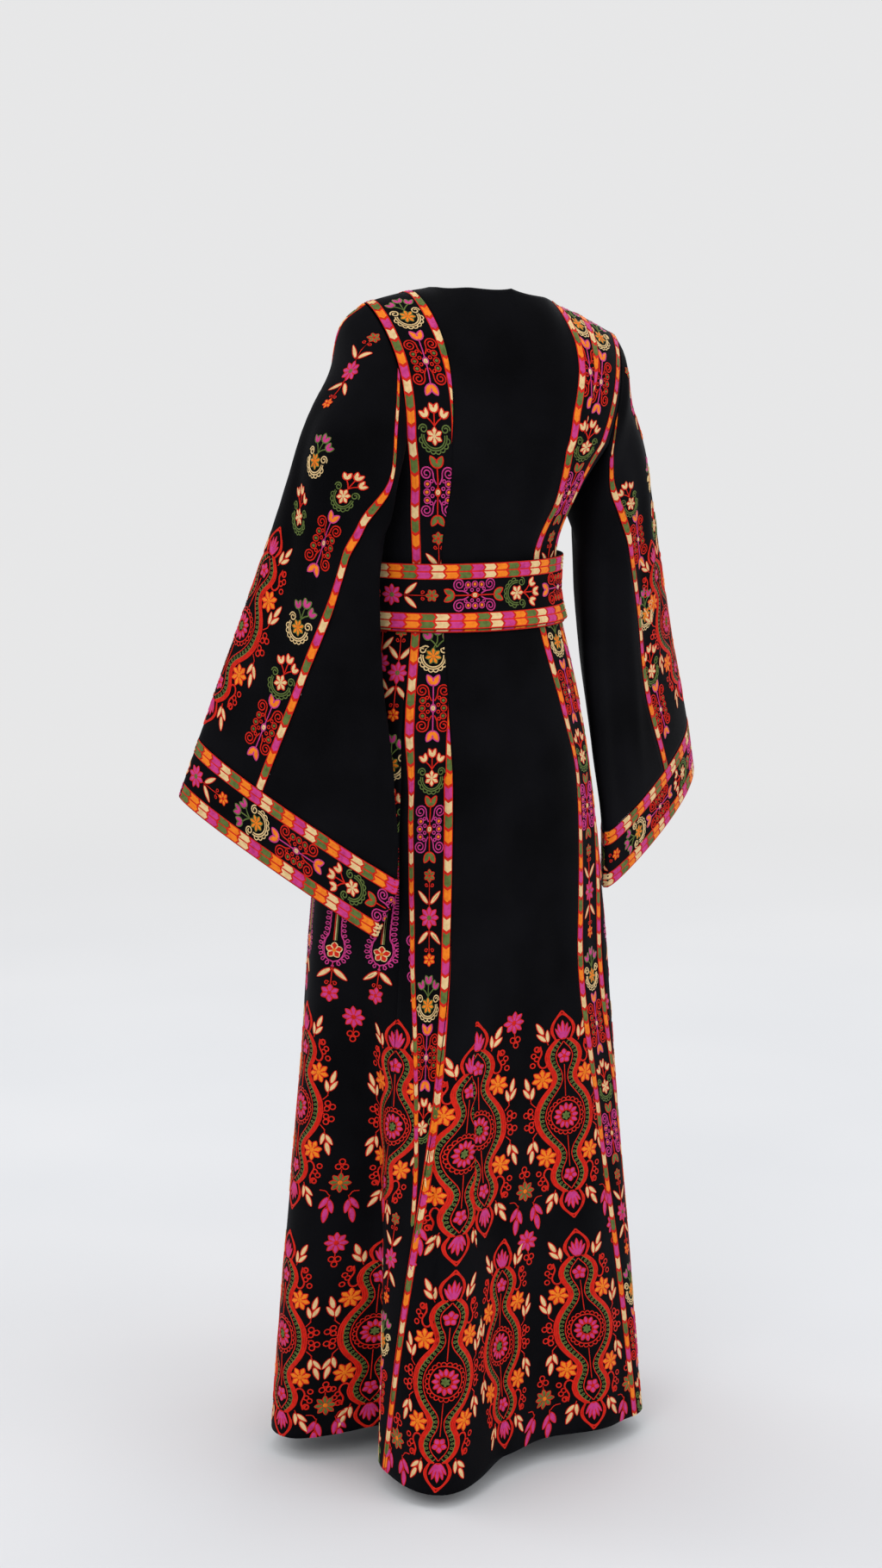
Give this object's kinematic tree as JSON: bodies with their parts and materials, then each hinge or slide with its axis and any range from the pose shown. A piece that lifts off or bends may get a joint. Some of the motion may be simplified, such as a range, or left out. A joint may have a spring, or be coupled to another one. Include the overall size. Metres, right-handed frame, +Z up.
{
  "type": "palestinian thobe dress",
  "caption": "Full-length embroidered thobe with princess bands over the shoulders, trumpet sleeves and a wrapped belt, open in its worn form.",
  "frame": {"origin": "midway between the two neck points, where the wearer's shoulders carry the dress", "axes": "+Z up along the dress from hem to shoulders, the front faces -Y, the wearer's left is +X"},
  "size_m": [0.7259, 0.476, 1.3963],
  "materials": {
    "black_crepe": "soft matt crepe with a faint sheen",
    "embroidered_crepe": "black crepe covered with raised silk-like couching in scarlet, orange, pink, cream and green"
  },
  "bodies": {
    "root": {"back_panel": "black_crepe", "front_panel": "black_crepe", "side_panel_left": "black_crepe", "side_panel_right": "black_crepe", "sleeve_under_left": "black_crepe", "sleeve_under_right": "black_crepe", "back_band_left": "embroidered_crepe", "back_band_right": "embroidered_crepe", "front_band_left": "embroidered_crepe", "front_band_right": "embroidered_crepe", "sleeve_top_left": "embroidered_crepe", "sleeve_top_right": "embroidered_crepe", "cuff_left": "embroidered_crepe", "cuff_right": "embroidered_crepe", "belt": "embroidered_crepe"}
  },
  "joints": []
}
